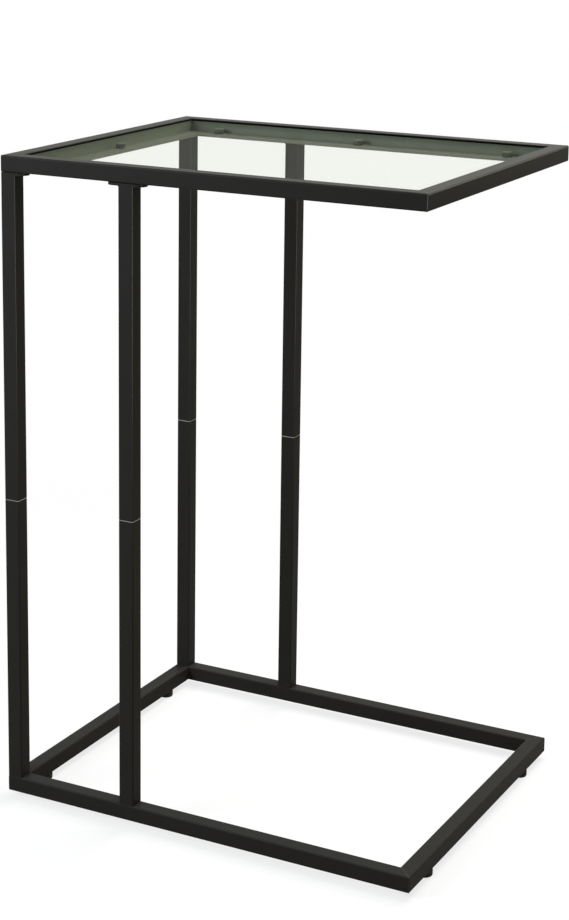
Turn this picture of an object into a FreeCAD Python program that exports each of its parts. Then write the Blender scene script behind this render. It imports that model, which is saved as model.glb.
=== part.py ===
import FreeCAD, Part
import math
import os

from FreeCAD import Placement, Rotation, Vector

# C-shaped side table, in millimetres. +Z is up and +X points to the open side.
# The origin is on the floor, under the middle of the table's outline.

# Outline
table_length = 442.0  # X, leg side to open side
table_depth = 356.0  # Y
table_height = 656.0  # floor to the top of the top frame

# Square steel tube of both frames and of the legs
tube_size = 16.0
tube_wall = 1.2
tube_outer_radius = 1.5
tube_inner_radius = 0.4

# Legs
inner_leg_offset = 131.0  # corner leg to inner leg, along X
seam_height = 314.0  # floor to the middle of the seam between the leg's two tubes

# Threads, as plain cylinders
thread_clearance = 0.05  # between a male and a female thread, on the radius
thread_chamfer = 0.6

# Plates on top of the legs
plate_thickness = 2.5
plate_overhang = 10.5  # past the leg's face
plate_long_overhang = 14.0  # the same, of an arm that points to the leg side

# Countersunk screws through the plates
plate_screw_diameter = 4.0
plate_screw_head = 7.6
plate_screw_length = 14.0
plate_screw_key = 2.5  # across flats
plate_screw_key_depth = 1.4
plate_screw_hole_play = 0.25  # on the radius
plate_screw_sink = 0.1  # the head lies this far inside the plate

# Rivet nuts in the top frame
plate_nut_body = 6.0
plate_nut_flange = 8.5
plate_nut_flange_thickness = 0.3
plate_nut_bulge = 8.2
plate_nut_bulge_height = 3.0
plate_nut_length = 11.0  # above the flange

# Threaded inserts in the leg tubes
insert_length = 20.0
insert_side_gap = 0.1
insert_edge_radius = 0.5
seam_lip_thickness = 0.8
seam_lip_inset = 0.2

# Studs between the leg's two tubes
joining_stud_diameter = 8.0
joining_stud_length = 30.0

# Bolts that hold the legs to the base
base_bolt_diameter = 6.0
base_bolt_head = 10.0
base_bolt_head_height = 5.0
base_bolt_length = 18.0  # under the head
base_bolt_key = 5.0  # across flats
base_bolt_key_depth = 3.0
base_bolt_hole_play = 0.3  # on the radius
base_bolt_access_play = 1.0  # around the head, on the radius

# Ledge bars inside the top frame
ledge_width = 18.5
ledge_thickness = 3.0

# Glass top
glass_thickness = 5.0
glass_recess = 2.5  # below the top of the frame
glass_side_gap = 1.0
glass_corner_radius = 4.0
glass_edge_radius = 0.8

# Bumpers under the glass
bumper_diameter = 10.0
bumper_end_inset = 40.0  # from the frame's inner face to the outermost bumper

# Levelling feet
foot_height = 7.0  # floor to the underside of the base
foot_inset = 54.0  # table's face to the foot's middle, along Y
foot_pad_diameter = 16.0
foot_pad_round = 1.0
foot_pad_floor = 1.6  # of the pad, under the stud's head
foot_pad_key_hole = 5.0
foot_stud_diameter = 6.0
foot_stud_head = 10.0
foot_stud_head_height = 2.0
foot_stud_key = 4.0  # across flats
foot_stud_key_depth = 1.4
foot_stud_reach = 11.5  # above the underside of the base
foot_running_gap = 0.05
foot_nut_body = 9.0
foot_nut_flange = 13.0
foot_nut_flange_thickness = 0.8
foot_nut_bulge = 11.5
foot_nut_bulge_height = 3.0
foot_nut_length = 10.0  # above the flange

# Sections
tube_bore = tube_size - 2 * tube_wall
half_tube = tube_size / 2
half_length = table_length / 2
half_depth = table_depth / 2
opening_length = table_length - 2 * tube_size
opening_depth = table_depth - 2 * tube_size

# Heights
base_bottom = foot_height
base_top = base_bottom + tube_size
lower_leg_top = seam_height - seam_lip_thickness / 2
upper_leg_bottom = seam_height + seam_lip_thickness / 2
top_frame_bottom = table_height - tube_size
plate_top = top_frame_bottom - plate_nut_flange_thickness
plate_bottom = plate_top - plate_thickness
ledge_top = top_frame_bottom + ledge_thickness
glass_bottom = table_height - glass_recess - glass_thickness

# Places of the legs: name, X, Y, and the directions in which the plate reaches past the leg
corner_leg_x = half_tube - half_length
inner_leg_x = corner_leg_x + inner_leg_offset
leg_y = half_depth - half_tube
legs = (
    ("near_corner", corner_leg_x, -leg_y, (Vector(1, 0, 0), Vector(0, 1, 0))),
    ("near_inner", inner_leg_x, -leg_y, (Vector(1, 0, 0), Vector(-1, 0, 0))),
    ("far_corner", corner_leg_x, leg_y, (Vector(1, 0, 0), Vector(0, -1, 0))),
    ("far_inner", inner_leg_x, leg_y, (Vector(1, 0, 0), Vector(-1, 0, 0))),
)

# Rails of a frame, in order round its corners
rail_names = ("near", "open_side", "far", "leg_side")

# Places of the feet
foot_x = half_length - half_tube
foot_y = half_depth - foot_inset
feet = (
    ("near_leg_side", -foot_x, -foot_y),
    ("near_open_side", foot_x, -foot_y),
    ("far_leg_side", -foot_x, foot_y),
    ("far_open_side", foot_x, foot_y),
)


def moved(shape, x, y, z):
    """A copy of the shape, moved from the origin to a place."""
    copy = shape.copy()
    copy.translate(Vector(x, y, z))
    return copy


def is_upright(edge):
    """Whether an edge runs along Z."""
    start, end = edge.Vertexes[0].Point, edge.Vertexes[-1].Point
    return math.hypot(end.x - start.x, end.y - start.y) < Part.Precision.confusion()


def upright_bar(size_x, size_y, corner_radius, height):
    """A bar with round upright edges, centred on the Z axis, from Z = 0."""
    bar = Part.makeBox(size_x, size_y, height, Vector(-size_x / 2, -size_y / 2, 0))
    return bar.makeFillet(corner_radius, [edge for edge in bar.Edges if is_upright(edge)])


def turned(profile):
    """A solid of revolution about Z from (radius, height) points."""
    points = [Vector(radius, 0, height) for radius, height in profile]
    face = Part.Face(Part.makePolygon(points + points[:1]))
    return face.revolve(Vector(0, 0, 0), Vector(0, 0, 1), 360)


def thread_end(radius, end):
    """The last points of a screw's profile: its chamfered end."""
    return ((radius, end - thread_chamfer), (radius - thread_chamfer, end), (0, end))


def hexagon(across_flats, height):
    """A hexagonal prism on the Z axis, from Z = 0."""
    radius = across_flats / math.sqrt(3)
    angles = [math.radians(60 * corner) for corner in range(6)]
    points = [Vector(radius * math.cos(angle), radius * math.sin(angle), 0) for angle in angles]
    face = Part.Face(Part.makePolygon(points + points[:1]))
    return face.extrude(Vector(0, 0, height))


def hole(x, y, diameter, low, high):
    """The tool that drills an upright hole."""
    return Part.makeCylinder(diameter / 2, high - low, Vector(x, y, low))


def square_tube(length):
    """A length of the table's square tube, centred on the Z axis, from Z = 0."""
    outside = upright_bar(tube_size, tube_size, tube_outer_radius, length)
    inside = upright_bar(tube_bore, tube_bore, tube_inner_radius, length)
    return outside.cut(inside)


def frame_corners(inset):
    """Corners of the table's outline, moved inwards."""
    x = half_length - inset
    y = half_depth - inset
    return (Vector(-x, -y, 0), Vector(x, -y, 0), Vector(x, y, 0), Vector(-x, y, 0))


def mitred_rail(side, bottom):
    """One tube of a rectangular frame, mitred at both ends, with its underside at a height."""
    outer = frame_corners(0)
    inner = frame_corners(tube_size)
    following = (side + 1) % len(outer)
    run = outer[following] - outer[side]
    along = Vector(run).normalize()
    start = (outer[side] + inner[side]) / 2 - along * half_tube
    tube = square_tube(run.Length)
    middle = start + Vector(0, 0, bottom + half_tube)
    tube.Placement = Placement(middle, Rotation(Vector(0, 0, 1), along))

    plan = (outer[side], outer[following], inner[following], inner[side], outer[side])
    wedge = Part.Face(Part.makePolygon(plan)).extrude(Vector(0, 0, tube_size))
    outline = upright_bar(table_length, table_depth, tube_outer_radius, tube_size)
    limits = wedge.common(outline)
    limits.translate(Vector(0, 0, bottom))
    return tube.common(limits)


def overhang(arm):
    """How far a plate reaches past the leg's face in a direction."""
    return plate_long_overhang if arm.x < 0 else plate_overhang


def screw_spots(arms):
    """Where a plate's screws go, from the leg's middle."""
    return [arm * (half_tube + overhang(arm) / 2) for arm in arms]


def screw_places():
    """Where all plate screws go: (X, Y) pairs."""
    return [(x + spot.x, y + spot.y) for _, x, y, arms in legs for spot in screw_spots(arms)]


def top_rail(side):
    """A rail of the top frame, with the holes for its rivet nuts."""
    floor = top_frame_bottom
    tools = [hole(x, y, plate_nut_body, floor, floor + tube_wall) for x, y in screw_places()]
    return mitred_rail(side, floor).cut(tools)


def base_rail(side):
    """A rail of the base, with the holes for the leg bolts and for the feet."""
    clearance = base_bolt_diameter + 2 * base_bolt_hole_play
    access = base_bolt_head + 2 * base_bolt_access_play
    tools = [hole(x, y, clearance, base_top - tube_wall, base_top) for _, x, y, _ in legs]
    tools += [hole(x, y, access, base_bottom, base_bottom + tube_wall) for _, x, y, _ in legs]
    tools += [hole(x, y, foot_nut_body, base_bottom, base_bottom + tube_wall) for _, x, y in feet]
    return mitred_rail(side, base_bottom).cut(tools)


def ledge_bar(side):
    """A flat bar inside the top frame. The two long ones run full length, the short ones between."""
    if rail_names[side] in ("near", "far"):
        bar = Part.makeBox(opening_length, ledge_width, ledge_thickness)
        x = -opening_length / 2
        y = -opening_depth / 2 if rail_names[side] == "near" else opening_depth / 2 - ledge_width
    else:
        bar = Part.makeBox(ledge_width, opening_depth - 2 * ledge_width, ledge_thickness)
        x = -opening_length / 2 if rail_names[side] == "leg_side" else opening_length / 2 - ledge_width
        y = ledge_width - opening_depth / 2
    return moved(bar, x, y, top_frame_bottom)


def glass_top():
    """The glass sheet, with round corners and softened edges."""
    size_x = opening_length - 2 * glass_side_gap
    size_y = opening_depth - 2 * glass_side_gap
    sheet = upright_bar(size_x, size_y, glass_corner_radius, glass_thickness)
    rims = [edge for edge in sheet.Edges if not is_upright(edge)]
    return moved(sheet.makeFillet(glass_edge_radius, rims), 0, 0, glass_bottom)


def bumpers():
    """Round bumpers on the ledge bars: three on each long bar and one on each short bar."""
    bumper = Part.makeCylinder(bumper_diameter / 2, glass_bottom - ledge_top)
    across = opening_depth / 2 - ledge_width / 2
    outermost = opening_length / 2 - bumper_end_inset
    along = opening_length / 2 - ledge_width / 2
    places = [(x, y) for y in (-across, across) for x in (-outermost, 0, outermost)]
    places += [(-along, 0), (along, 0)]
    return Part.makeCompound([moved(bumper, x, y, ledge_top) for x, y in places])


def leg_plate(arms):
    """The plate on a leg's top: a square with an arm in each direction, ending in a half circle."""
    plate = upright_bar(tube_size, tube_size, tube_outer_radius, plate_thickness)
    for arm in arms:
        reach = overhang(arm)
        tongue = Part.makeBox(reach, tube_size, plate_thickness, Vector(0, -half_tube, 0))
        tongue = tongue.fuse(Part.makeCylinder(half_tube, plate_thickness, Vector(reach, 0, 0)))
        tongue.rotate(Vector(0, 0, 0), Vector(0, 0, 1), math.degrees(math.atan2(arm.y, arm.x)))
        plate = plate.fuse(tongue)
    plate = plate.removeSplitter()
    return plate.cut([moved(countersink(), spot.x, spot.y, 0) for spot in screw_spots(arms)])


def countersink():
    """The tool that cuts a plate's screw hole and countersink, with the plate's underside at Z = 0."""
    mouth = plate_screw_head / 2 + plate_screw_hole_play
    waist = plate_screw_diameter / 2 + plate_screw_hole_play
    depth = plate_screw_sink + mouth - waist
    top = plate_thickness
    return turned(((0, 0), (mouth, 0), (mouth, plate_screw_sink), (waist, depth), (waist, top), (0, top)))


def plate_screw():
    """A countersunk screw, with the outer face of its head at Z = 0."""
    head = plate_screw_head / 2
    shank = plate_screw_diameter / 2
    body = turned(((0, 0), (head, 0), (shank, head - shank), *thread_end(shank, plate_screw_length)))
    return body.cut(hexagon(plate_screw_key, plate_screw_key_depth))


def rivet_nut(thread, body, flange, flange_thickness, bulge, bulge_height, length):
    """A rivet nut set in a tube wall, with the wall's outer face at Z = 0 and the flange below it."""
    bore = thread / 2 + thread_clearance
    outside = body / 2
    wide = bulge / 2
    taper = tube_wall + bulge_height
    return turned(
        (
            (bore, -flange_thickness),
            (flange / 2, -flange_thickness),
            (flange / 2, 0),
            (outside, 0),
            (outside, tube_wall),
            (wide, tube_wall),
            (outside, taper),
            (outside, length),
            (bore, length),
        )
    )


def plate_nut():
    """The top frame's rivet nut."""
    return rivet_nut(
        plate_screw_diameter,
        plate_nut_body,
        plate_nut_flange,
        plate_nut_flange_thickness,
        plate_nut_bulge,
        plate_nut_bulge_height,
        plate_nut_length,
    )


def foot_nut():
    """The base's rivet nut."""
    return rivet_nut(
        foot_stud_diameter,
        foot_nut_body,
        foot_nut_flange,
        foot_nut_flange_thickness,
        foot_nut_bulge,
        foot_nut_bulge_height,
        foot_nut_length,
    )


def insert(thread):
    """A threaded block that fills the end of a leg tube, from Z = 0."""
    size = tube_bore - 2 * insert_side_gap
    block = upright_bar(size, size, insert_edge_radius, insert_length)
    return block.cut(hole(0, 0, thread + 2 * thread_clearance, 0, insert_length))


def lipped_insert(thread):
    """A threaded block with a lip on its upper end that covers the tube's end."""
    size = tube_size - 2 * seam_lip_inset
    lip = upright_bar(size, size, tube_outer_radius, seam_lip_thickness)
    drill = hole(0, 0, thread + 2 * thread_clearance, 0, seam_lip_thickness)
    return insert(thread).fuse(moved(lip.cut(drill), 0, 0, insert_length)).removeSplitter()


def joining_stud():
    """A headless stud, centred on the origin."""
    radius = joining_stud_diameter / 2
    end = joining_stud_length / 2
    upper = thread_end(radius, end)
    lower = [(r, -height) for r, height in reversed(upper)]
    return turned((*lower, *upper))


def base_bolt():
    """A socket-head bolt that points up, with its head's seat at Z = 0."""
    head = base_bolt_head / 2
    shank = base_bolt_diameter / 2
    low = -base_bolt_head_height
    body = turned(((0, low), (head, low), (head, 0), (shank, 0), *thread_end(shank, base_bolt_length)))
    return body.cut(moved(hexagon(base_bolt_key, base_bolt_key_depth), 0, 0, low))


def foot_pad():
    """The foot's pad on Z = 0, with a chamber for the stud's head and a hole for the key."""
    top = foot_height - foot_nut_flange_thickness
    pad = Part.makeCylinder(foot_pad_diameter / 2, top)
    pad = pad.makeFillet(foot_pad_round, [edge for edge in pad.Edges if is_rim(edge, 0)])
    chamber_top = foot_pad_floor + foot_stud_head_height + 2 * foot_running_gap
    chamber = hole(0, 0, foot_stud_head + 2 * foot_running_gap, foot_pad_floor, chamber_top)
    neck = hole(0, 0, foot_stud_diameter + 2 * foot_running_gap, chamber_top, top)
    key = hole(0, 0, foot_pad_key_hole, 0, foot_pad_floor)
    return pad.cut([chamber, neck, key])


def is_rim(edge, height):
    """Whether an edge lies flat at a height."""
    box = edge.BoundBox
    strays = abs(box.ZMin - height) + abs(box.ZMax - height)
    return strays < Part.Precision.confusion()


def foot_stud():
    """The foot's stud: a round head that turns in the pad, and a thread that turns in the base."""
    head = foot_stud_head / 2
    shank = foot_stud_diameter / 2
    low = foot_pad_floor + foot_running_gap
    seat = low + foot_stud_head_height
    tip = thread_end(shank, foot_height + foot_stud_reach)
    body = turned(((0, low), (head, low), (head, seat), (shank, seat), *tip))
    return body.cut(moved(hexagon(foot_stud_key, foot_stud_key_depth), 0, 0, low))


def at_legs(shape, height):
    """One copy of a shape at each leg, as a group."""
    return Part.makeCompound([moved(shape, x, y, height) for _, x, y, _ in legs])


def write(name, shape):
    """Writes one node."""
    shape.exportStep(os.path.join("parts", name + ".step"))


def write_frames():
    """The top frame, its ledge bars and the base frame."""
    for side, name in enumerate(rail_names):
        write("top_rail_" + name, top_rail(side))
        write("glass_ledge_" + name, ledge_bar(side))
        write("base_rail_" + name, base_rail(side))


def write_glass():
    """The glass and what it lies on."""
    write("glass_top", glass_top())
    write("glass_bumpers", bumpers())


def write_legs():
    """The legs' tubes and plates, and the hardware that holds them."""
    upper = square_tube(plate_bottom - upper_leg_bottom)
    lower = square_tube(lower_leg_top - base_top)
    for name, x, y, arms in legs:
        write("upper_leg_" + name, moved(upper, x, y, upper_leg_bottom))
        write("lower_leg_" + name, moved(lower, x, y, base_top))
        write("leg_plate_" + name, moved(leg_plate(arms), x, y, plate_bottom))
    write("upper_leg_inserts", at_legs(insert(joining_stud_diameter), upper_leg_bottom))
    seam_insert = lipped_insert(joining_stud_diameter)
    write("lower_leg_seam_inserts", at_legs(seam_insert, lower_leg_top - insert_length))
    write("lower_leg_base_inserts", at_legs(insert(base_bolt_diameter), base_top))
    write("leg_joining_studs", at_legs(joining_stud(), seam_height))
    write("base_bolts", at_legs(base_bolt(), base_top - tube_wall))


def write_plate_fasteners():
    """The screws and rivet nuts between the plates and the top frame."""
    screws = [moved(plate_screw(), x, y, plate_bottom + plate_screw_sink) for x, y in screw_places()]
    nuts = [moved(plate_nut(), x, y, top_frame_bottom) for x, y in screw_places()]
    write("plate_screws", Part.makeCompound(screws))
    write("plate_rivet_nuts", Part.makeCompound(nuts))


def write_feet():
    """The levelling feet and the rivet nuts that hold them."""
    for name, x, y in feet:
        write("foot_pad_" + name, moved(foot_pad(), x, y, 0))
        write("foot_stud_" + name, moved(foot_stud(), x, y, 0))
    nuts = [moved(foot_nut(), x, y, base_bottom) for _, x, y in feet]
    write("foot_rivet_nuts", Part.makeCompound(nuts))


os.makedirs("parts", exist_ok=True)
write_frames()
write_glass()
write_legs()
write_plate_fasteners()
write_feet()
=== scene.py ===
"""The looks of the C-shaped side table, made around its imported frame.

Lengths are in metres, in the frame's own axes: +Z is up, +X points to the open side and +Y to the far side.
"""

import logging
import math
from collections.abc import Callable, Iterator, Mapping, Sequence
from contextlib import contextmanager
from dataclasses import dataclass, field
from enum import Enum
from typing import Union

import bmesh
import bpy
from mathutils import Matrix, Vector


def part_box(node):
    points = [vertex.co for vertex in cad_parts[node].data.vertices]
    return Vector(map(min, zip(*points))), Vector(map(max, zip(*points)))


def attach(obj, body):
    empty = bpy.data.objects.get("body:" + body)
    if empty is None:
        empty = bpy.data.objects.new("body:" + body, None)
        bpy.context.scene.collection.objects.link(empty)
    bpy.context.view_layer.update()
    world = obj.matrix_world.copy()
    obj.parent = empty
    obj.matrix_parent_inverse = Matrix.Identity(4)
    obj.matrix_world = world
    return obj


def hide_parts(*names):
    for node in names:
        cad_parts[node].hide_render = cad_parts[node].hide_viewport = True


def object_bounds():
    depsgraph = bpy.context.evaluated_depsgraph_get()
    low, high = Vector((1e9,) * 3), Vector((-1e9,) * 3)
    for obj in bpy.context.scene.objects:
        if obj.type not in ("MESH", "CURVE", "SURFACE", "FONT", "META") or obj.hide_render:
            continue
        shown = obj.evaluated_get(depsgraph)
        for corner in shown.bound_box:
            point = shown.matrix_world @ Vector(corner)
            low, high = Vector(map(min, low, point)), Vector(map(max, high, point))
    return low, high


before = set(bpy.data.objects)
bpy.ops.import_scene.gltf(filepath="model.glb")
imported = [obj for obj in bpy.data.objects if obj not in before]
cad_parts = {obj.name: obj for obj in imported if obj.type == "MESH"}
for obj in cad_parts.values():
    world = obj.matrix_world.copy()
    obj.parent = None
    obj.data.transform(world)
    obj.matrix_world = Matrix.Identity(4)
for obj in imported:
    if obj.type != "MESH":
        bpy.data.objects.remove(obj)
cad_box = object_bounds()

LOG = logging.getLogger("side_table")
MM = 0.001

Colour = tuple[float, float, float, float]
Value = Union["Wire", float]
Test = Callable[[Vector, Vector], bool]


def grey(level: float, warmth: float = 0.0) -> Colour:
    """A grey in linear light, with red raised and blue lowered by a share of it."""
    return (level * (1 + warmth), level, level * (1 - warmth), 1.0)


# ---------------------------------------------------------------------------
# Shader maths
# ---------------------------------------------------------------------------


class Wire:
    """A number on its way through a shader, on which Python's operators add Math nodes."""

    def __init__(self, board: "Board", socket: bpy.types.NodeSocket) -> None:
        """Wraps an output socket of one of the board's nodes."""
        self.board = board
        self.socket = socket

    def __add__(self, other: Value) -> "Wire":
        """This plus other."""
        return self.board.math("ADD", self, other)

    def __mul__(self, other: Value) -> "Wire":
        """This times other."""
        return self.board.math("MULTIPLY", self, other)

    def __sub__(self, other: Value) -> "Wire":
        """This minus other."""
        return self.board.math("SUBTRACT", self, other)

    def __rsub__(self, other: Value) -> "Wire":
        """Other minus this."""
        return self.board.math("SUBTRACT", other, self)

    __radd__ = __add__


class Board:
    """The node tree of a material or of the world, from empty."""

    COLOUR_FACTOR = 0
    COLOUR_A = 6
    COLOUR_B = 7
    COLOUR_RESULT = 2

    def __init__(self, owner: bpy.types.Material | bpy.types.World) -> None:
        """Empties the owner's node tree."""
        owner.use_nodes = True
        self.tree = owner.node_tree
        self.tree.nodes.clear()

    def add(
        self,
        kind: str,
        settings: Mapping[str, object] | None = None,
        sockets: Mapping[str | int, object] | None = None,
    ) -> bpy.types.Node:
        """Makes one node.

        Args:
            kind: The node's type, without the words "ShaderNode".
            settings: Its properties. "stops" holds a ramp's (position, colour) pairs.
            sockets: Values or wires for its inputs, by name or number.

        Returns:
            The node.
        """
        node = self.tree.nodes.new("ShaderNode" + kind)
        for name, setting in (settings or {}).items():
            if name == "stops":
                self._set_stops(node.color_ramp.elements, setting)
            else:
                setattr(node, name, setting)
        for name, value in (sockets or {}).items():
            if isinstance(value, Wire):
                self.tree.links.new(value.socket, node.inputs[name])
            else:
                node.inputs[name].default_value = value
        return node

    @staticmethod
    def _set_stops(elements: bpy.types.ColorRampElements, stops: Sequence[tuple[float, Colour]]) -> None:
        """Gives a new ramp its stops."""
        for _ in stops[2:]:
            elements.new(0.5)
        for element, (position, colour) in zip(elements, stops):
            element.position = position
            element.color = colour

    def math(self, operation: str, *operands: Value) -> Wire:
        """One Math node's result."""
        return self.out(self.add("Math", {"operation": operation}, dict(enumerate(operands))))

    def out(self, node: bpy.types.Node, socket: str | int = 0) -> Wire:
        """One output of a node."""
        return Wire(self, node.outputs[socket])

    def mix(self, factor: Value, first: Colour | Wire, second: Colour | Wire) -> Wire:
        """A colour between two, which is the second one where the factor is 1."""
        sockets = {self.COLOUR_FACTOR: factor, self.COLOUR_A: first, self.COLOUR_B: second}
        return self.out(self.add("Mix", {"data_type": "RGBA"}, sockets), self.COLOUR_RESULT)

    def place(self) -> Wire:
        """Where a point is, in the frame's own axes."""
        return self.out(self.add("TexCoord"), "Object")

    def normal(self) -> Wire:
        """The way a surface faces, in the frame's own axes."""
        return self.out(self.add("TexCoord"), "Normal")

    def axes(self, vector: Wire) -> tuple[Wire, ...]:
        """The X, Y and Z of a vector."""
        node = self.add("SeparateXYZ", None, {"Vector": vector})
        return tuple(self.out(node, axis) for axis in "XYZ")

    def rays(self, *kinds: str) -> tuple[Wire, ...]:
        """1 or 0 for each kind of ray, by its name on the Light Path node."""
        path = self.add("LightPath")
        return tuple(self.out(path, kind) for kind in kinds)

    def height(self) -> Wire:
        """How high a point is above the floor."""
        return self.axes(self.place())[2]

    def noise(self, grain: float, detail: float = 2.0) -> Wire:
        """Cloudy noise from 0 to 1, whose blotches are about one grain wide, in metres."""
        sockets = {"Vector": self.place(), "Scale": 1 / grain, "Detail": detail}
        return self.out(self.add("TexNoise", None, sockets), "Fac")

    def bump(self, height: Wire, depth: float, strength: float) -> Wire:
        """Normals of a surface whose height goes from 0 to 1 times a depth."""
        return self.out(self.add("Bump", None, {"Height": height, "Distance": depth, "Strength": strength}))

    def ramp(self, wire: Wire, low: float, high: float) -> Wire:
        """0 where the wire is at or under low, 1 where it is at or over high, and smooth between."""
        sockets = {"Value": wire, "From Min": low, "From Max": high}
        return self.out(self.add("MapRange", {"interpolation_type": "SMOOTHSTEP"}, sockets))

    def finish(self, shader: bpy.types.Node) -> None:
        """Sends a shader to the output."""
        kind = "OutputWorld" if isinstance(self.tree.id_data, bpy.types.World) else "OutputMaterial"
        self.tree.links.new(shader.outputs[0], self.add(kind).inputs["Surface"])


# ---------------------------------------------------------------------------
# Finishes
# ---------------------------------------------------------------------------


class Slot(Enum):
    """The record's material slots."""

    POWDER_COAT = "powder_coat"
    GLASS = "glass"
    BUMPER_RUBBER = "bumper_rubber"
    FOOT_PLASTIC = "foot_plastic"
    ZINC_STEEL = "zinc_steel"
    BLACK_SCREW = "black_screw"


@dataclass(frozen=True)
class Well:
    """The sunk space inside the top frame, in which the glass lies."""

    reach_x: float
    reach_y: float
    floor: float
    glass: float
    skin: float = 0.1 * MM
    soft: float = 0.5 * MM

    @classmethod
    def of_frame(cls) -> "Well":
        """The well between the frame's own rails and ledge bars."""
        low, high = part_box("glass_ledge_near")
        return cls(high.x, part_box("glass_ledge_far")[1].y, low.z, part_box("glass_top")[1].z)

    def masks(self, board: Board) -> tuple[Wire, Wire]:
        """Two masks of the surfaces that face the well: those under the glass, which get the painted glass
        light, and those above it, which get the painted shade.
        """
        x, y, z = board.axes(board.place())
        out_x = board.math("ABSOLUTE", x) - self.reach_x
        out_y = board.math("ABSOLUTE", y) - self.reach_y
        inside = 1 - board.ramp(board.math("MAXIMUM", out_x, out_y), self.skin, self.skin + self.soft)
        above = board.ramp(z, self.glass - self.skin, self.glass)
        under = board.ramp(z, self.floor, self.floor + self.skin) - above
        return inside * under, inside * above


@dataclass(frozen=True)
class PowderCoat:
    """Satin black powder coat: a fine orange peel, with a glossier skin over rounded upright edges.

    The skin grows with height, as the coat runs down while it melts. Under the glass the coat is
    smoother, and its colour there is painted light that has come through the green glass: green on the
    ledges, lighter and less green on the walls. The recess round the glass, above it, is painted all
    but black, as painted shade.
    """

    name: str = "tube_coat"
    slot: Slot = Slot.POWDER_COAT
    well: Well = field(default_factory=Well.of_frame)
    # Painted light: green light that has come through the glass, on the ledges and on the walls under it.
    painted_glass_light_ledges: Colour = (0.070, 0.083, 0.057, 1.0)
    painted_glass_light_walls: Colour = (0.180, 0.187, 0.155, 1.0)
    # Painted shade in the recess round the glass, above it.
    painted_recess_shade: Colour = grey(0.002)
    recess_roughness: float = 0.85
    thin: Colour = grey(0.023, 0.05)
    thick: Colour = grey(0.033, 0.05)
    sheen_tint: Colour = (1.0, 1.0, 0.93, 1.0)
    specular_level: float = 0.04
    roughness: float = 0.36
    roughness_swing: float = 0.12
    peel_grain: float = 1.3 * MM
    peel_depth: float = 0.03 * MM
    peel_strength: float = 0.35
    cloud_grain: float = 45 * MM
    edge_coat: float = 1.0
    edge_refraction: float = 1.6
    edge_roughness: float = 0.22
    edge_rise: tuple[float, float] = (180 * MM, 500 * MM)

    def make(self) -> bpy.types.Material:
        """The finish as a material."""
        material = bpy.data.materials.new(self.name)
        board = Board(material)
        under_glass, recess = self.well.masks(board)
        peel = board.noise(self.peel_grain)
        cloud = board.noise(self.cloud_grain, 3.0)
        depth = peel * 0.5 + cloud * 0.5
        roughness = self.roughness + (depth - 0.5) * self.roughness_swing
        edges, upright = self.facing(board)
        # Painted light under the glass: green on the ledges, lighter on the walls.
        well = board.mix(upright, self.painted_glass_light_ledges, self.painted_glass_light_walls)
        colour = board.mix(under_glass, board.mix(depth, self.thin, self.thick), well)
        sockets = {
            # Painted shade: the recess above the glass is painted all but black, and made rough.
            "Base Color": board.mix(recess, colour, self.painted_recess_shade),
            "Roughness": roughness + recess * (self.recess_roughness - self.roughness),
            "Specular IOR Level": self.specular_level,
            "Specular Tint": self.sheen_tint,
            "Coat Weight": edges * board.ramp(board.height(), *self.edge_rise) * self.edge_coat,
            "Coat Roughness": self.edge_roughness,
            "Coat IOR": self.edge_refraction,
            "Normal": board.bump(peel * (1 - under_glass), self.peel_depth, self.peel_strength),
        }
        board.finish(board.add("BsdfPrincipled", None, sockets))
        return material

    @staticmethod
    def facing(board: Board) -> tuple[Wire, Wire]:
        """Masks of the rounded upright edges, whose normals follow no axis, and of all upright faces."""
        x, y, z = (board.math("ABSOLUTE", axis) for axis in board.axes(board.normal()))
        upright = 1 - board.ramp(z, 0.1, 0.4)
        return board.ramp(board.math("MINIMUM", x, y), 0.15, 0.5) * upright, upright


@dataclass(frozen=True)
class TintedGlass:
    """Clear tempered glass: faint green through its faces, and deeper green along its ground rim."""

    slot: Slot = Slot.GLASS
    face: Colour = (0.93, 0.97, 0.92, 1.0)
    rim: Colour = (0.30, 0.56, 0.44, 1.0)
    passing: Colour = (0.955, 0.965, 0.94, 1.0)
    rim_passing: Colour = (0.86, 0.92, 0.85, 1.0)
    refraction: float = 1.52
    glassy_share: float = 0.05
    rim_roughness: float = 0.18
    smear_grain: float = 60 * MM
    smear: float = 0.006

    def make(self) -> bpy.types.Material:
        """The finish as a material. Part of the light, and all of a lamp's, goes straight through."""
        material = bpy.data.materials.new(self.slot.value)
        board = Board(material)
        up = board.axes(board.normal())[2]
        rim = 1 - board.ramp(board.math("ABSOLUTE", up), 0.5, 0.95)
        smear = board.ramp(board.noise(self.smear_grain, 4.0), 0.5, 0.8)
        sockets = {
            "Base Color": board.mix(rim, self.face, self.rim),
            "Roughness": smear * self.smear + rim * self.rim_roughness,
            "IOR": self.refraction,
            "Transmission Weight": 1.0,
        }
        glass = board.out(board.add("BsdfPrincipled", None, sockets))
        passing = board.mix(rim, self.passing, self.rim_passing)
        clear = board.out(board.add("BsdfTransparent", None, {"Color": passing}))
        (lamp,) = board.rays("Is Shadow Ray")
        share = (1 - rim) * self.glassy_share * (1 - lamp)
        board.finish(board.add("MixShader", None, {0: share, 1: clear, 2: glass}))
        return material


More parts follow.
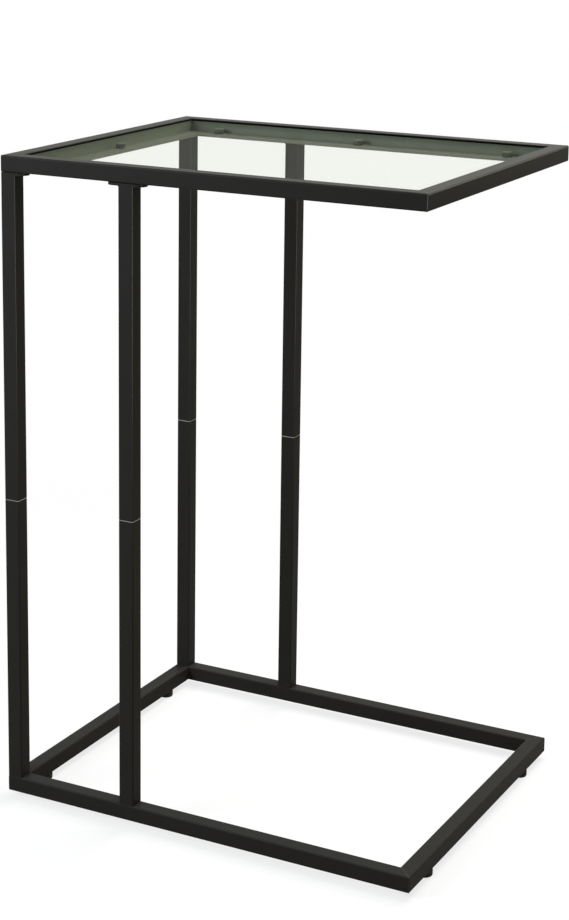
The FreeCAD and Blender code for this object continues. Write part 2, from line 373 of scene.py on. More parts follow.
@dataclass(frozen=True)
class ZincPlate:
    """Bright zinc on turned steel, a little clouded."""

    slot: Slot = Slot.ZINC_STEEL
    bright: Colour = (0.75, 0.76, 0.78, 1.0)
    clouded: Colour = (0.60, 0.60, 0.58, 1.0)
    roughness: float = 0.3
    roughness_swing: float = 0.2
    cloud_grain: float = 5 * MM
    scratch_grain: float = 0.25 * MM
    scratch_depth: float = 0.01 * MM
    scratch_strength: float = 0.5

    def make(self) -> bpy.types.Material:
        """The finish as a material."""
        material = bpy.data.materials.new(self.slot.value)
        board = Board(material)
        cloud = board.noise(self.cloud_grain, 4.0)
        scratch = board.noise(self.scratch_grain)
        sockets = {
            "Base Color": board.mix(cloud, self.bright, self.clouded),
            "Metallic": 1.0,
            "Roughness": self.roughness + (cloud - 0.5) * self.roughness_swing,
            "Normal": board.bump(scratch, self.scratch_depth, self.scratch_strength),
        }
        board.finish(board.add("BsdfPrincipled", None, sockets))
        return material


@dataclass(frozen=True)
class Moulding:
    """A black moulded or turned finish: rubber, nylon or black oxide, set apart by its numbers."""

    slot: Slot
    dark: Colour
    light: Colour
    roughness: float
    specular_level: float = 0.4
    metallic: float = 0.0
    roughness_swing: float = 0.15
    grain: float = 0.6 * MM
    depth: float = 0.02 * MM
    strength: float = 0.5

    def make(self) -> bpy.types.Material:
        """The finish as a material."""
        material = bpy.data.materials.new(self.slot.value)
        board = Board(material)
        grain = board.noise(self.grain)
        sockets = {
            "Base Color": board.mix(grain, self.dark, self.light),
            "Metallic": self.metallic,
            "Roughness": self.roughness + (grain - 0.5) * self.roughness_swing,
            "Specular IOR Level": self.specular_level,
            "Normal": board.bump(grain, self.depth, self.strength),
        }
        board.finish(board.add("BsdfPrincipled", None, sockets))
        return material


class Finish(Enum):
    """The table's finishes. The coat has less skin on the leg plates, and is a lighter grey on the welds."""

    TUBE_COAT = PowderCoat()
    PLATE_COAT = PowderCoat("plate_coat", edge_coat=0.15)
    WELD_COAT = PowderCoat("weld_coat", thin=grey(0.045, 0.05), thick=grey(0.06, 0.05))
    GLASS = TintedGlass()
    ZINC = ZincPlate()
    RUBBER = Moulding(
        Slot.BUMPER_RUBBER,
        # Painted light: the rubber's dark green stands for light that has come through the green glass above,
        # matching the painted ledges.
        dark=(0.070, 0.082, 0.060, 1.0),
        light=(0.085, 0.098, 0.073, 1.0),
        roughness=0.7,
        specular_level=0.1,
    )
    NYLON = Moulding(
        Slot.FOOT_PLASTIC,
        dark=grey(0.023, 0.08),
        light=grey(0.033, 0.08),
        roughness=0.5,
        specular_level=0.2,
    )
    BLACK_OXIDE = Moulding(
        Slot.BLACK_SCREW,
        dark=grey(0.03),
        light=grey(0.05),
        roughness=0.4,
        metallic=0.8,
        grain=0.3 * MM,
        depth=0.005 * MM,
    )


class Finishes:
    """One material for each finish, made once and shared."""

    def __init__(self) -> None:
        """Makes every finish."""
        self.materials = {finish: finish.value.make() for finish in Finish}

    def dress(self, piece: bpy.types.Object, finish: Finish) -> None:
        """Gives a piece a finish, in place of any it has."""
        piece.data.materials.clear()
        piece.data.materials.append(self.materials[finish])

    def dress_nodes(self, finish: Finish, *beginnings: str) -> int:
        """Gives a finish to the frame's nodes whose names begin so, and counts them."""
        nodes = [node for name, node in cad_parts.items() if name.startswith(beginnings)]
        for node in nodes:
            node.material_slots[0].material = self.materials[finish]
        return len(nodes)


# ---------------------------------------------------------------------------
# The modelling bench
# ---------------------------------------------------------------------------

ALONG = 0.9  # Over this share of its length on an axis, a direction follows the axis.
ACROSS = 0.1  # Under this share, it crosses the axis.
STRAIGHT = 0.99  # Over this share, it is the axis.
RIM_SHARE = 0.9  # Past this share of its radius, a cylinder's edge is on its rim.
TOUCH = 0.01 * MM  # Nearer than this is the same place.
SMOOTH_ANGLE = math.radians(35)


class Domain(Enum):
    """What a selection is made of."""

    EDGES = "EDGE"
    FACES = "FACE"


@contextmanager
def modelling(name: str, primitive: Callable[..., object], **size: object) -> Iterator[bpy.types.Object]:
    """Starts a piece from a primitive, holds it in edit mode, then turns its faces out and shades it.

    The primitive's place and turn go into its mesh first, so all that follows is in the frame's axes.

    Args:
        name: The piece's name.
        primitive: The operator that adds the primitive.
        size: The operator's own arguments.

    Yields:
        The piece, in edit mode.
    """
    bpy.ops.object.select_all(action="DESELECT")
    primitive(**size)
    piece = bpy.context.object
    piece.name = name
    piece.data.name = name
    bpy.ops.object.transform_apply(location=True, rotation=True, scale=True)
    bpy.ops.object.mode_set(mode="EDIT")
    yield piece
    bpy.ops.mesh.select_all(action="SELECT")
    bpy.ops.mesh.normals_make_consistent(inside=False)
    bpy.ops.object.mode_set(mode="OBJECT")
    bpy.ops.object.shade_smooth_by_angle(angle=SMOOTH_ANGLE)


def select(domain: Domain, test: Test) -> None:
    """Selects part of the mesh that is being edited.

    Args:
        domain: Edges or faces.
        test: Says whether to select one, from its middle and its direction. An edge's direction
            runs along it, and a face's is its normal.
    """
    bpy.ops.mesh.select_mode(type=domain.value)
    bpy.ops.mesh.select_all(action="DESELECT")
    data = bpy.context.edit_object.data
    mesh = bmesh.from_edit_mesh(data)
    mesh.normal_update()
    if domain is Domain.FACES:
        for face in mesh.faces:
            face.select = test(face.calc_center_median(), face.normal)
    else:
        for edge in mesh.edges:
            start, end = (vertex.co for vertex in edge.verts)
            edge.select = test((start + end) / 2, (end - start).normalized())
    mesh.select_flush_mode()
    bmesh.update_edit_mesh(data)


def on_rim(radius: float) -> Test:
    """A test for the edges that go round the outside of a cylinder on the Z axis."""
    return lambda at, along: abs(along.z) < ACROSS and at.xy.length > radius * RIM_SHARE


def pull(*offset: float) -> None:
    """Extrudes the selection and moves it."""
    bpy.ops.mesh.extrude_region_move(TRANSFORM_OT_translate={"value": offset})


def resize(*scale: float, about: Sequence[float] = (0, 0, 0)) -> None:
    """Scales the selection about a point."""
    bpy.ops.transform.resize(value=scale, center_override=about)


def bevel(width: float, segments: int = 3) -> None:
    """Rounds the selected edges."""
    bpy.ops.mesh.bevel(offset=width, segments=segments, affect="EDGES", clamp_overlap=True)


def apply_modifier(piece: bpy.types.Object, kind: str, **settings: object) -> None:
    """Adds a modifier to a piece and applies it."""
    modifier = piece.modifiers.new(kind.title(), kind)
    for name, setting in settings.items():
        setattr(modifier, name, setting)
    bpy.context.view_layer.objects.active = piece
    bpy.ops.object.modifier_apply(modifier=modifier.name)


def turn_and_move(angle: float, place: Sequence[float]) -> Matrix:
    """A turn about Z by an angle in radians, then a move."""
    return Matrix.Translation(Vector(place)) @ Matrix.Rotation(angle, 4, "Z")


def copies(model: bpy.types.Object, places: Mapping[str, Matrix]) -> list[bpy.types.Object]:
    """Copies a piece that lies at the origin to each of its places, and takes the model away.

    Args:
        model: The piece, which is used up.
        places: The new pieces' names, and where each goes.

    Returns:
        The new pieces, each with a mesh of its own.
    """
    made = []
    for name, place in places.items():
        mesh = model.data.copy()
        mesh.name = name
        mesh.transform(place)
        piece = bpy.data.objects.new(name, mesh)
        bpy.context.scene.collection.objects.link(piece)
        made.append(piece)
    bpy.data.objects.remove(model)
    return made


def middle(node: str) -> Vector:
    """The middle of a node's box."""
    low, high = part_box(node)
    return (low + high) / 2


def report(assembly: str, pieces: Sequence[bpy.types.Object], nodes: int) -> None:
    """Logs what an assembly made and dressed."""
    for piece in pieces:
        LOG.info("%s: %s, %d faces", assembly, piece.name, len(piece.data.polygons))
    LOG.info("%s: %d pieces made, %d nodes dressed", assembly, len(pieces), nodes)


# ---------------------------------------------------------------------------
# Welds
# ---------------------------------------------------------------------------


@dataclass
class MitreWeld:
    """The ground weld round a mitred corner: a hoop that stands a little proud of the tube."""

    tube: float
    edge_radius: float = 1.5 * MM
    proud: float = 0.12 * MM
    width: float = 1.3 * MM
    depth: float = 0.9 * MM

    def model(self, name: str) -> bpy.types.Object:
        """The hoop at the origin, in the plane of a corner whose outside points along +X and +Y."""
        size = self.tube + 2 * self.proud
        stretch = math.sqrt(2)
        half = self.width / 2
        scale = (size, self.width, size)
        with modelling(name, bpy.ops.mesh.primitive_cube_add, size=1, scale=scale) as piece:
            select(Domain.EDGES, lambda at, along: abs(along.y) > ALONG)
            bevel(self.edge_radius + self.proud, 4)
            select(Domain.FACES, lambda at, normal: abs(normal.y) > ALONG)
            bpy.ops.mesh.inset(thickness=self.depth)
            bpy.ops.mesh.bridge_edge_loops()
            select(Domain.EDGES, lambda at, along: self._is_outer_rim(at, along, half, size / 2))
            bevel(self.proud, 2)
            bpy.ops.mesh.select_all(action="SELECT")
            resize(stretch, 1, 1)
            self._fit_to_corner()
            bpy.ops.transform.rotate(value=-math.radians(45), orient_axis="Z", center_override=(0, 0, 0))
        return piece

    def _is_outer_rim(self, at: Vector, along: Vector, half: float, reach: float) -> bool:
        """Whether an edge goes round the hoop's outside, at one of its two ends."""
        inner = reach - self.depth / 2
        corner = inner * math.sqrt(2) - self.edge_radius
        outside = max(abs(at.x), abs(at.z)) > inner or math.hypot(at.x, at.z) > corner
        return abs(along.y) < ACROSS and abs(abs(at.y) - half) < TOUCH and outside

    def _fit_to_corner(self) -> None:
        """Draws the outer end in to the rounded outside of the corner."""
        inwards = (math.sqrt(2) - 1) * self.edge_radius
        select(Domain.FACES, lambda at, normal: at.x > self.tube / 2)
        bpy.ops.transform.translate(value=(-inwards, 0, 0))
        bpy.ops.mesh.select_all(action="SELECT")

    def corners(self, prefix: str, rail: str) -> list[bpy.types.Object]:
        """A weld at each corner of the frame that a rail belongs to."""
        low, high = cad_box
        reach_x, reach_y = high.x - self.tube / 2, high.y - self.tube / 2
        height = middle(rail).z
        places = {
            f"{prefix}_near_leg_side": turn_and_move(math.radians(180), (-reach_x, -reach_y, height)),
            f"{prefix}_near_open_side": turn_and_move(math.radians(-90), (reach_x, -reach_y, height)),
            f"{prefix}_far_open_side": turn_and_move(0, (reach_x, reach_y, height)),
            f"{prefix}_far_leg_side": turn_and_move(math.radians(90), (-reach_x, reach_y, height)),
        }
        return copies(self.model(prefix), places)


@dataclass
class WeldBead:
    """A rippled weld bead, half sunk in the corner that it fills."""

    length: float
    radius: float
    ripple: float = 1.1 * MM
    swell: float = 1.14
    end_share: float = 0.75
    tip_share: float = 0.5
    tip_reach: float = 0.35
    sides: int = 14

    def model(self, name: str) -> bpy.types.Object:
        """The bead at the origin, along X."""
        ripples = round(self.length / self.ripple)
        step = self.length / (2 * ripples)
        with modelling(
            name,
            bpy.ops.mesh.primitive_cylinder_add,
            vertices=self.sides,
            radius=self.radius,
            depth=self.length,
            rotation=(0, math.radians(90), 0),
        ) as piece:
            select(Domain.EDGES, lambda at, along: abs(along.x) > ALONG)
            bpy.ops.mesh.subdivide(number_cuts=2 * ripples - 1)
            for ripple in range(ripples):
                crest = (2 * ripple + 1) * step - self.length / 2
                select(Domain.EDGES, lambda at, along: abs(at.x - crest) < step / 4 and abs(along.x) < ACROSS)
                resize(1, self.swell, self.swell, about=(crest, 0, 0))
            for end in (-self.length / 2, self.length / 2):
                select(Domain.FACES, lambda at, normal: abs(at.x - end) < step / 4 and abs(normal.x) > ALONG)
                resize(1, self.end_share, self.end_share, about=(end, 0, 0))
                pull(math.copysign(self.radius * self.tip_reach, end), 0, 0)
                resize(1, self.tip_share, self.tip_share, about=(end, 0, 0))
        return piece


# ---------------------------------------------------------------------------
# The table
# ---------------------------------------------------------------------------


@dataclass
class Assembly:
    """Pieces of the table that are made and dressed together."""

    finishes: Finishes
    pieces: list[bpy.types.Object] = field(default_factory=list)

    def settle(self, finish: Finish) -> None:
        """Dresses the pieces, which ride on the frame."""
        for piece in self.pieces:
            self.finishes.dress(piece, finish)
            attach(piece, "frame")


@dataclass
class TopFrame(Assembly):
    """The mitred top frame, with the ledge bars that carry the glass."""

    tack_length: float = 18 * MM
    tack_radius: float = 1.5 * MM
    tack_flatness: float = 0.4
    tack_inset: float = 45 * MM

    def build(self) -> None:
        """Makes the welds and dresses the rails."""
        nodes = self.finishes.dress_nodes(Finish.TUBE_COAT, "top_rail_", "glass_ledge_")
        low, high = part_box("top_rail_near")
        self.pieces = MitreWeld(high.z - low.z).corners("top_mitre_weld", "top_rail_near")
        self.pieces += self.tacks(low.z)
        self.settle(Finish.WELD_COAT)
        report("top frame", self.pieces, nodes)

    def tacks(self, height: float) -> list[bpy.types.Object]:
        """Flat tack welds under the seams between the ledge bars and the rails.

        Args:
            height: The underside of the frame.

        Returns:
            The tacks.
        """
        inner_x, inner_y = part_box("glass_ledge_near")[1].x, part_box("glass_ledge_far")[1].y
        model = WeldBead(self.tack_length, self.tack_radius).model("ledge_tack")
        model.data.transform(Matrix.Diagonal((1, 1, self.tack_flatness, 1)))
        outermost = inner_x - self.tack_inset
        places = {}
        for side, y in (("near", -inner_y), ("far", inner_y)):
            for number, x in enumerate((-outermost, 0, outermost), 1):
                places[f"ledge_tack_{side}_{number}"] = turn_and_move(0, (x, y, height))
        outermost = inner_y - self.tack_inset
        for side, x in (("leg_side", -inner_x), ("open_side", inner_x)):
            for number, y in enumerate((-outermost, outermost), 1):
                places[f"ledge_tack_{side}_{number}"] = turn_and_move(math.radians(90), (x, y, height))
        return copies(model, places)


@dataclass
class BaseFrame(Assembly):
    """The mitred base frame, which lies flat and slides under a seat."""

    def build(self) -> None:
        """Makes the welds and dresses the rails."""
        nodes = self.finishes.dress_nodes(Finish.TUBE_COAT, "base_rail_")
        low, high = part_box("base_rail_near")
        self.pieces = MitreWeld(high.z - low.z).corners("base_mitre_weld", "base_rail_near")
        self.settle(Finish.WELD_COAT)
        report("base frame", self.pieces, nodes)


@dataclass
class Legs(Assembly):
    """The four split legs, and their top plates."""

    names: tuple[str, ...] = ("near_corner", "near_inner", "far_corner", "far_inner")
    bead_radius: float = 1.3 * MM
    bead_end_gap: float = 1.5 * MM

    def build(self) -> None:
        """Makes the weld beads and dresses the tubes and plates."""
        nodes = self.finishes.dress_nodes(
            Finish.TUBE_COAT, "upper_leg_near", "upper_leg_far", "lower_leg_near", "lower_leg_far"
        )
        nodes += self.finishes.dress_nodes(Finish.PLATE_COAT, "leg_plate_")
        self.pieces = self.beads()
        self.settle(Finish.PLATE_COAT)
        report("legs", self.pieces, nodes)

    def beads(self) -> list[bpy.types.Object]:
        """A weld bead under each arm of the plates, where it meets the leg's face."""
        low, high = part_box("upper_leg_near_corner")
        tube = high.x - low.x
        model = WeldBead(tube - 2 * self.bead_end_gap, self.bead_radius).model("plate_weld")
        places = {}
        for name in self.names:
            leg = middle("upper_leg_" + name)
            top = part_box("upper_leg_" + name)[1].z
            plate_low, plate_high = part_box("leg_plate_" + name)
            arms = {
                "open": (plate_high.x - leg.x, Vector((1, 0, 0))),
                "leg": (leg.x - plate_low.x, Vector((-1, 0, 0))),
                "far": (plate_high.y - leg.y, Vector((0, 1, 0))),
                "near": (leg.y - plate_low.y, Vector((0, -1, 0))),
            }
            for side, (reach, way) in arms.items():
                if reach > tube:
                    spot = leg + way * tube / 2
                    along = math.atan2(way.y, way.x) + math.radians(90)
                    places[f"plate_weld_{name}_{side}"] = turn_and_move(along, (spot.x, spot.y, top))
        return copies(model, places)


@dataclass
class GlassTop(Assembly):
    """The glass and the soft bumpers that it lies on."""

    node: str = "glass_bumpers"
    foot_reach: float = 12 * MM
    foot_height: float = 0.1 * MM
    radius_share: float = 0.54
    rim_radius: float = 1.0 * MM
    dimple_radius: float = 2.2 * MM
    dimple_depth: float = 0.5 * MM
    dimple_slope: float = 0.4
    dimple_floor: float = 0.7
    sides: int = 40

    def build(self) -> None:
        """Makes the bumpers and dresses the glass."""
        nodes = self.finishes.dress_nodes(Finish.GLASS, "glass_top")
        nodes += self.finishes.dress_nodes(Finish.RUBBER, self.node)
        spots = self.spots()
        model = self.bumper()
        names = {f"glass_bumper_{number}": turn_and_move(0, spot) for number, spot in enumerate(spots, 1)}
        self.pieces = copies(model, names)
        self.settle(Finish.RUBBER)
        for piece in self.pieces:
            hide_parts(self.node)
        report("glass top", self.pieces, nodes)

    def spots(self) -> list[Vector]:
        """Where the node's bumpers stand: the middle of each one's foot."""
        mesh = bmesh.new()
        mesh.from_mesh(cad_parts[self.node].data)
        floor = min(vertex.co.z for vertex in mesh.verts)
        points = [vertex.co.copy() for vertex in mesh.verts if vertex.co.z < floor + self.foot_height]
        mesh.free()
        feet: list[list[Vector]] = []
        for point in points:
            foot = next((foot for foot in feet if (foot[0] - point).length < self.foot_reach), None)
            if foot is None:
                feet.append([point])
            else:
                foot.append(point)
        spots = []
        for foot in feet:
            across = [point.x for point in foot]
            deep = [point.y for point in foot]
            spots.append(Vector(((min(across) + max(across)) / 2, (min(deep) + max(deep)) / 2, floor)))
        return sorted(spots, key=lambda spot: (spot.y, spot.x))

    def bumper(self) -> bpy.types.Object:
        """One bumper on the origin: rounded rims, and a dimple in its top."""
        low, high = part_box(self.node)
        height = high.z - low.z
        radius = (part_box("glass_ledge_near")[1].y - middle("glass_ledge_near").y) * self.radius_share
        with modelling(
            "glass_bumper",
            bpy.ops.mesh.primitive_cylinder_add,
            vertices=self.sides,
            radius=radius,
            depth=height,
            location=(0, 0, height / 2),
        ) as piece:
            select(Domain.EDGES, on_rim(radius))
            bevel(self.rim_radius, 4)
            select(Domain.FACES, lambda at, normal: normal.z > STRAIGHT)
            bpy.ops.mesh.inset(thickness=radius - self.rim_radius - self.dimple_radius)
            bpy.ops.mesh.inset(thickness=self.dimple_radius * self.dimple_slope)
            pull(0, 0, -self.dimple_depth)
            resize(self.dimple_floor, self.dimple_floor, 1)
        return piece


@dataclass
class LevellingFeet(Assembly):
    """The screw-in feet: moulded pads, and threaded studs that turn in them."""

    places: tuple[str, ...] = ("near_leg_side", "near_open_side", "far_leg_side", "far_open_side")
    pitch: float = 1.0 * MM
    thread_diameter: float = 6.0 * MM
    thread_depth: float = 0.6 * MM
    thread_steps: int = 28
    head_height: float = 2.0 * MM
    head_round: float = 0.2 * MM
    key_size: float = 4.0 * MM
    key_depth: float = 1.4 * MM
    pad_sides: int = 64
    pad_floor: float = 1.6 * MM
    pad_round: float = 1.7 * MM
    rim_round: float = 0.25 * MM
    key_hole: float = 5.0 * MM
    running_gap: float = 0.05 * MM
    tread_depth: float = 0.3 * MM
    tread_width: float = 1.0 * MM

    def build(self) -> None:
        """Makes the studs and pads at each foot."""
        nodes = self.finishes.dress_nodes(Finish.NYLON, "foot_pad_")
        nodes += self.finishes.dress_nodes(Finish.ZINC, "foot_stud_", "foot_rivet_nuts")
        for kind, finish, model in (("stud", Finish.ZINC, self.stud()), ("pad", Finish.NYLON, self.pad())):
            spots = {}
            for name in self.places:
                at = middle(f"foot_{kind}_{name}")
                spots[f"levelling_{kind}_{name}"] = turn_and_move(0, (at.x, at.y, 0))
            for name, piece in zip(self.places, copies(model, spots)):
                self.finishes.dress(piece, finish)
                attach(piece, f"{kind}_{name}")
                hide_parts(f"foot_{kind}_{name}")
                self.pieces.append(piece)
        report("levelling feet", self.pieces, nodes)

    def stud(self) -> bpy.types.Object:
        """One stud on the Z axis: a cut thread with a chamfered end, and a round head with a key socket."""
        low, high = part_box("foot_stud_near_leg_side")
        head = self._head(low.z, (high.x - low.x) / 2)
        thread = self._thread()
        blank = self._blank(low.z + self.head_height - self.head_round, high.z)
        thread.data.transform(Matrix.Translation((0, 0, low.z)))
        apply_modifier(thread, "BOOLEAN", operation="INTERSECT", object=blank, solver="EXACT")
        bpy.data.objects.remove(blank)
        bpy.ops.object.select_all(action="DESELECT")
        head.select_set(True)
        thread.select_set(True)
        bpy.context.view_layer.objects.active = thread
        bpy.ops.object.join()
        return thread

    def _thread(self) -> bpy.types.Object:
        """A length of thread from near the floor: one pitch of its outline, wound up, with flat ends."""
        low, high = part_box("foot_stud_near_leg_side")
        turns = math.ceil((high.z - low.z) / self.pitch) + 3
        margin = self.pitch / 4
        with modelling("levelling_stud", bpy.ops.mesh.primitive_plane_add, size=self.pitch) as piece:
            self._thread_outline()
        apply_modifier(
            piece,
            "SCREW",
            steps=self.thread_steps,
            render_steps=self.thread_steps,
            screw_offset=self.pitch,
            iterations=turns,
        )
        bpy.ops.object.mode_set(mode="EDIT")
        bpy.ops.mesh.select_all(action="SELECT")
        bpy.ops.mesh.remove_doubles(threshold=TOUCH)
        for height, way in ((margin, -1), ((turns - 1) * self.pitch - margin, 1)):
            bpy.ops.mesh.select_all(action="SELECT")
            bpy.ops.mesh.bisect(
                plane_co=(0, 0, height),
                plane_no=(0, 0, way),
                use_fill=True,
                clear_outer=True,
                threshold=0.001 * MM,
            )
        bpy.ops.mesh.select_all(action="SELECT")
        bpy.ops.mesh.normals_make_consistent(inside=False)
        bpy.ops.object.mode_set(mode="OBJECT")
        bpy.ops.object.shade_smooth_by_angle(angle=SMOOTH_ANGLE)
        return piece

    def _thread_outline(self) -> None:
        """Turns the plane that is being edited into one pitch of the thread's outline, under the floor."""
        crest = self.thread_diameter / 2
        root = crest - self.thread_depth
        outline = ((root, 0), (root, 0.2), (crest, 0.5), (crest, 0.65), (root, 1.0))
        data = bpy.context.edit_object.data
        mesh = bmesh.from_edit_mesh(data)
        mesh.clear()
        points = [mesh.verts.new((x, 0, (share - 1) * self.pitch)) for x, share in outline]
        for first, second in zip(points, points[1:]):
            mesh.edges.new((first, second))
        bmesh.update_edit_mesh(data)

    def _blank(self, low: float, high: float) -> bpy.types.Object:
        """The chamfered rod that the thread is cut on, from one height to another."""
        radius = self.thread_diameter / 2 + self.running_gap
        with modelling(
            "stud_blank",
            bpy.ops.mesh.primitive_cylinder_add,
            vertices=self.pad_sides,
            radius=radius,
            depth=high - low,
            location=(0, 0, (high + low) / 2),
        ) as piece:
            select(Domain.EDGES, lambda at, along: at.z > high - TOUCH)
            bevel(self.thread_depth, 1)
        return piece

    def _head(self, low: float, radius: float) -> bpy.types.Object:
        """The head from its lower face up, with its key socket."""
        with modelling(
            "levelling_stud_head",
            bpy.ops.mesh.primitive_cylinder_add,
            vertices=48,
            radius=radius,
            depth=self.head_height,
            location=(0, 0, low + self.head_height / 2),
        ) as piece:
            select(Domain.EDGES, on_rim(radius))
            bevel(self.head_round, 2)
        with modelling(
            "key_cutter",
            bpy.ops.mesh.primitive_cylinder_add,
            vertices=6,
            radius=self.key_size / math.sqrt(3),
            depth=2 * self.key_depth,
            location=(0, 0, low),
        ) as cutter:
            select(Domain.FACES, lambda at, normal: normal.z > STRAIGHT)
            bpy.ops.mesh.inset(thickness=self.key_size * 0.1)
            resize(0.1, 0.1, 1)
            bpy.ops.transform.translate(value=(0, 0, self.head_round))
        apply_modifier(piece, "BOOLEAN", operation="DIFFERENCE", object=cutter, solver="EXACT")
        bpy.data.objects.remove(cutter)
        return piece

    def pad(self) -> bpy.types.Object:
        """One pad on the floor, with a tread under it, a chamber for the stud's head and a key hole."""
        low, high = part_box("foot_pad_near_leg_side")
        stud_low, stud_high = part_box("foot_stud_near_leg_side")
        height = high.z
        radius = (high.x - low.x) / 2
        chamber = (stud_high.x - stud_low.x) / 2 + self.running_gap
        neck = self.thread_diameter / 2 + self.running_gap
        ceiling = self.pad_floor + self.head_height + 2 * self.running_gap
        with modelling(
            "levelling_pad",
            bpy.ops.mesh.primitive_cylinder_add,
            vertices=self.pad_sides,
            radius=radius,
            depth=height,
            location=(0, 0, height / 2),
        ) as piece:
            self._round_rim(radius, 0, self.pad_round, 5)
            self._round_rim(radius, height, self.rim_round, 2)
            select(Domain.FACES, lambda at, normal: normal.z > STRAIGHT)
            bpy.ops.mesh.inset(thickness=radius - self.rim_round - neck)
            bpy.ops.mesh.delete(type="FACE")
            select(Domain.FACES, lambda at, normal: normal.z < -STRAIGHT)
            self._tread(radius - self.pad_round)
            pull(0, 0, self.pad_floor)
            for target, rise in ((chamber, 0), (chamber, ceiling - self.pad_floor), (neck, 0)):
                self._step_to(target, rise)
            bpy.ops.mesh.delete(type="FACE")
            select(
                Domain.EDGES,
                lambda at, along: at.z > self.pad_floor and abs(at.xy.length - neck) < 0.1 * MM,
            )
            bpy.ops.mesh.bridge_edge_loops()
        return piece

    @staticmethod
    def _round_rim(radius: float, height: float, width: float, segments: int) -> None:
        """Rounds the rim at one height of the cylinder that is being edited."""

        def at_height(at: Vector, along: Vector) -> bool:
            """Whether an edge goes round at that height."""
            return abs(at.z - height) < TOUCH and at.xy.length > radius * RIM_SHARE

        select(Domain.EDGES, at_height)
        bevel(width, segments)

    def _tread(self, radius: float) -> None:
        """Presses a ring into the flat underside, and leaves the key hole's disc selected."""
        bpy.ops.mesh.inset(thickness=self.tread_width)
        outer = radius - self.tread_width
        inner = self.key_hole / 2 + self.tread_width
        bpy.ops.mesh.inset(thickness=outer - inner)
        bpy.ops.mesh.inset(thickness=self.tread_width)

        def in_ring(at: Vector, normal: Vector) -> bool:
            """Whether a face lies in the pressed ring."""
            return normal.z < -STRAIGHT and inner < at.xy.length < outer

        select(Domain.FACES, in_ring)
        pull(0, 0, self.tread_depth)
        resize(0.999, 0.999, 1)
        select(Domain.FACES, lambda at, normal: normal.z < -STRAIGHT and at.xy.length < self.key_hole / 4)

    @staticmethod
    def _step_to(radius: float, rise: float) -> None:
        """Extrudes the selected disc straight up, then widens or narrows it to a radius."""
        pull(0, 0, rise)
        data = bpy.context.edit_object.data
        mesh = bmesh.from_edit_mesh(data)
        disc = next(face for face in mesh.faces if face.select)
        share = radius / disc.verts[0].co.xy.length
        resize(share, share, 1)


@dataclass
class Hardware(Assembly):
    """The fasteners, inserts and seam rings that are the frame's own solids."""

    def build(self) -> None:
        """Dresses the hardware."""
        nodes = self.finishes.dress_nodes(
            Finish.ZINC,
            "upper_leg_inserts",
            "lower_leg_seam_inserts",
            "lower_leg_base_inserts",
            "leg_joining_studs",
            "base_bolts",
        )
        nodes += self.finishes.dress_nodes(Finish.BLACK_OXIDE, "plate_screws", "plate_rivet_nuts")
        report("hardware", self.pieces, nodes)


# ---------------------------------------------------------------------------
# The studio
# ---------------------------------------------------------------------------


@dataclass(frozen=True)
class Softbox:
    """A square area lamp."""

    name: str
    place: tuple[float, float, float]
    aim: tuple[float, float, float]
    size: float
    power: float
    tint: tuple[float, float, float] = (1.0, 1.0, 1.0)

    def make(self) -> None:
        """Hangs the lamp, out of the camera's sight."""
        data = bpy.data.lights.new(self.name, "AREA")
        data.size = self.size
        data.energy = self.power
        data.color = self.tint
        lamp = bpy.data.objects.new(self.name, data)
        lamp.location = self.place
        aim = Vector(self.aim) - Vector(self.place)
        lamp.rotation_euler = aim.to_track_quat("-Z", "Y").to_euler()
        lamp.visible_camera = False
        lamp.visible_transmission = False
        bpy.context.scene.collection.objects.link(lamp)


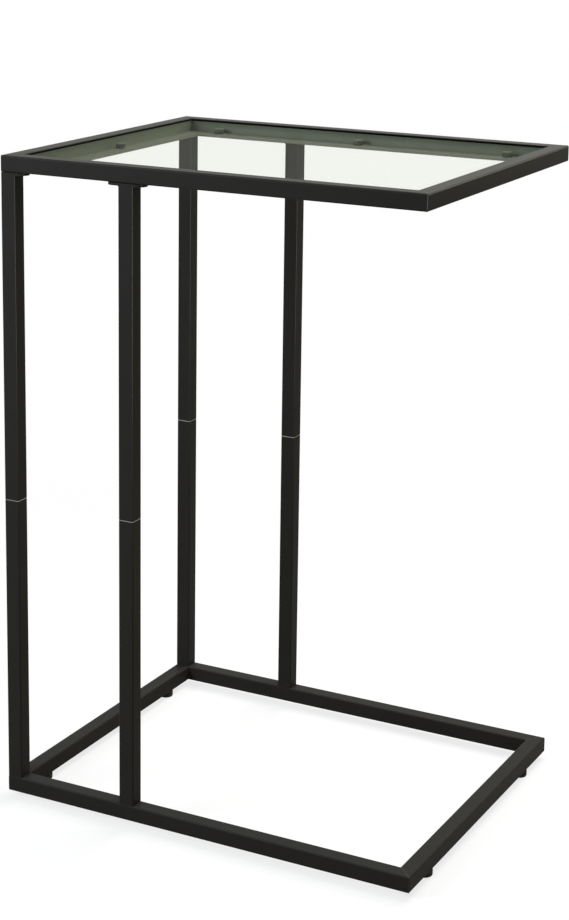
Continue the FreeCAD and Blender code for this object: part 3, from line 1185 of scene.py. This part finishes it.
@dataclass
class Studio:
    """A pale floor and a white surround, with five softboxes."""

    floor_size: float = 80.0
    floor_bounce: Colour = (0.33, 0.29, 0.23, 1.0)
    floor_shade: float = 0.22
    floor_shade_reach: tuple[float, float] = (0.45, 1.3)
    floor_mirrored: Colour = (0.24, 0.23, 0.20, 1.0)
    ambient: float = 0.03
    ceiling: tuple[tuple[float, float], ...] = ((0.10, 0.85), (0.42, 0.42), (0.8, 0.18))
    ceiling_mirrored: Colour = (1.0, 1.0, 0.93, 1.0)
    softboxes: tuple[Softbox, ...] = (
        Softbox("key", (-0.8, -1.2, 1.0), (-0.1, -0.1, 0.4), 0.65, 15.3, (0.87, 0.94, 1.0)),
        Softbox("overhead", (0.2, 0.3, 2.6), (0.0, 0.0, 0.4), 1.4, 40.0),
        Softbox("back", (0.1, 0.8, 1.5), (0.0, 0.1, 0.2), 0.7, 11.0, (1.0, 1.0, 0.93)),
        Softbox("side", (0.55, 0.6, 0.79), (0.2, 0.1, 0.5), 0.3, 2.0, (1.0, 1.0, 0.82)),
        Softbox("edge", (1.5, -0.9, 0.2), (0.0, 0.0, 0.35), 0.8, 3.2),
    )

    def build(self) -> None:
        """Lays the floor, hangs the lamps and makes the surround."""
        self.floor()
        self.surround()
        for softbox in self.softboxes:
            softbox.make()
        bpy.context.scene.view_settings.view_transform = "Standard"

    def floor(self) -> None:
        """The floor: white to the eye, in reflections and through glass, with the table's shadow on it."""
        bpy.ops.object.select_all(action="DESELECT")
        bpy.ops.mesh.primitive_plane_add(size=self.floor_size)
        floor = bpy.context.object
        floor.name = "floor"
        material = bpy.data.materials.new("floor")
        board = Board(material)
        (glossy,) = board.rays("Is Glossy Ray")
        white_colour = board.mix(glossy, grey(1.0), self.floor_mirrored)
        lit = board.out(board.add("BsdfDiffuse", None, {"Color": grey(self.floor_shade)}))
        glow_sockets = {"Color": white_colour, "Strength": 1 - self.floor_shade}
        glow = board.out(board.add("Emission", None, glow_sockets))
        shaded = board.out(board.add("AddShader", None, {0: lit, 1: glow}))
        white = board.out(board.add("Emission", None, {"Color": white_colour}))
        plain = board.out(board.add("BsdfDiffuse", None, {"Color": self.floor_bounce}))
        distance = board.out(board.add("VectorMath", {"operation": "LENGTH"}, {0: board.place()}), "Value")
        far_off = board.ramp(distance, *self.floor_shade_reach)
        bright = board.out(board.add("MixShader", None, {0: far_off, 1: shaded, 2: white}))
        board.finish(board.add("MixShader", None, {0: self.seen(board), 1: plain, 2: bright}))
        material.cycles.emission_sampling = "NONE"
        floor.data.materials.append(material)

    @staticmethod
    def seen(board: Board) -> Wire:
        """1 for rays from the camera, in reflections and through glass, and 0 for soft light."""
        camera, glossy, through = board.rays("Is Camera Ray", "Is Glossy Ray", "Is Transmission Ray")
        return board.math("MAXIMUM", board.math("MAXIMUM", camera, glossy), through)

    def surround(self) -> None:
        """The world: white to the eye and through glass, dimmer overhead in reflections, plain for light."""
        world = bpy.data.worlds.new("surround")
        bpy.context.scene.world = world
        board = Board(world)
        camera, glossy, through = board.rays("Is Camera Ray", "Is Glossy Ray", "Is Transmission Ray")
        height = board.axes(board.out(board.add("TexCoord"), "Generated"))[2]
        stops = [(position, grey(level)) for position, level in self.ceiling]
        mirrored = board.out(board.add("ValToRGB", {"stops": stops}, {"Fac": height}))
        seen = board.math("MAXIMUM", camera, through)
        reflected = glossy * (1 - through)
        other = reflected * mirrored + (1 - reflected) * self.ambient
        strength = seen + (1 - seen) * other
        colour = board.mix(reflected, grey(1.0), self.ceiling_mirrored)
        board.finish(board.add("Background", None, {"Color": colour, "Strength": strength}))
        world.cycles.sampling_method = "NONE"


@dataclass
class Viewpoint:
    """The camera."""

    picture: tuple[int, int] = (569, 920)
    focal_pixels: float = 2092.3
    place: tuple[float, float, float] = (0.91416, -1.81055, 0.94095)
    yaw: float = -0.49268
    pitch: float = 0.19826
    roll: float = 0.00951
    shift: tuple[float, float] = (0.05, -0.204)
    sensor: float = 36.0

    def build(self) -> None:
        """Sets the camera up."""
        data = bpy.data.cameras.new("camera")
        data.sensor_width = self.sensor
        data.lens = self.focal_pixels * self.sensor / max(self.picture)
        data.shift_x, data.shift_y = self.shift
        data.clip_end = 200.0
        camera = bpy.data.objects.new("camera", data)
        forward = Vector(
            (
                math.sin(self.yaw) * math.cos(self.pitch),
                math.cos(self.yaw) * math.cos(self.pitch),
                -math.sin(self.pitch),
            )
        )
        camera.rotation_mode = "QUATERNION"
        camera.rotation_quaternion = (
            Matrix.Rotation(-self.roll, 4, forward).to_quaternion() @ forward.to_track_quat("-Z", "Y")
        )
        camera.location = self.place
        bpy.context.scene.collection.objects.link(camera)
        bpy.context.scene.camera = camera


def main() -> None:
    """Builds the table's looks, then the studio and the camera."""
    logging.basicConfig(level=logging.INFO, format="%(message)s")
    finishes = Finishes()
    for assembly in (TopFrame, BaseFrame, Legs, GlassTop, LevellingFeet, Hardware):
        assembly(finishes).build()
    Studio().build()
    Viewpoint().build()


if __name__ == "__main__":
    main()
